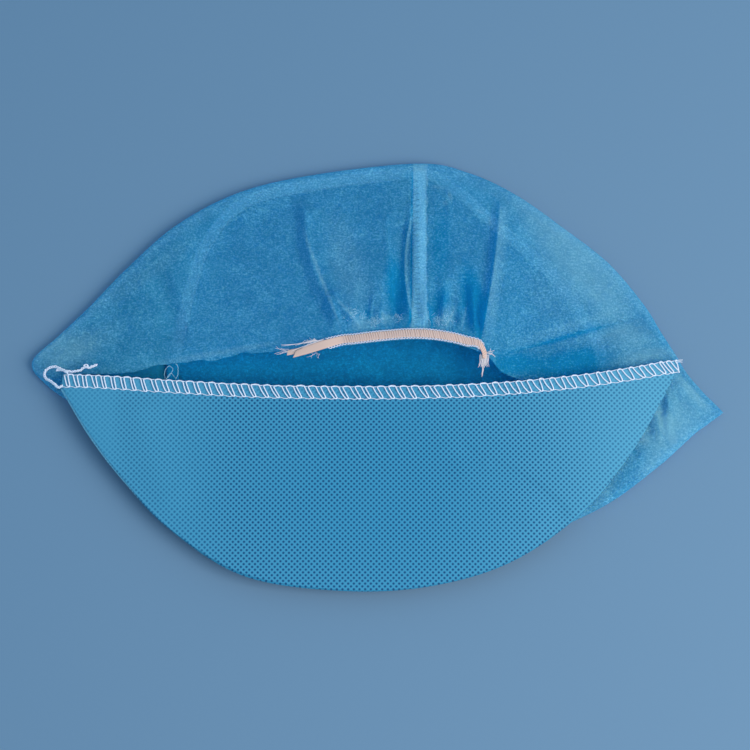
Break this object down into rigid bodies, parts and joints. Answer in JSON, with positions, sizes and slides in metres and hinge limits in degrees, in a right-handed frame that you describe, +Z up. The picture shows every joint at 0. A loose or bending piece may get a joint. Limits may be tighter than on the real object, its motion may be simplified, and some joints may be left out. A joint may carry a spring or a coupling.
{
  "type": "disposable peaked cap",
  "caption": "Soft disposable cap of thin nonwoven with a stiff embossed peak and an elastic gathering the back rim, lying flattened with its opening up.",
  "frame": {"origin": "middle of the cap's bounding box, on the floor that it lies on", "axes": "+X along the cap's length, +Y to the centre back of the crown, with the peak towards -Y, +Z up out of the opening"},
  "size_m": [0.289, 0.1861, 0.0163],
  "materials": {
    "crown_nonwoven": "thin see-through fibre",
    "seam_nonwoven": "overlocked double ply",
    "peak_nonwoven": "dot embossed",
    "elastic_tape": "ribbed"
  },
  "bodies": {
    "root": {"top_panel": "crown_nonwoven", "side_band": "crown_nonwoven", "crown_seam": "seam_nonwoven", "back_seam": "seam_nonwoven", "peak_under_ply": "peak_nonwoven", "peak_upper_ply": "peak_nonwoven", "elastic": "elastic_tape"}
  },
  "joints": []
}
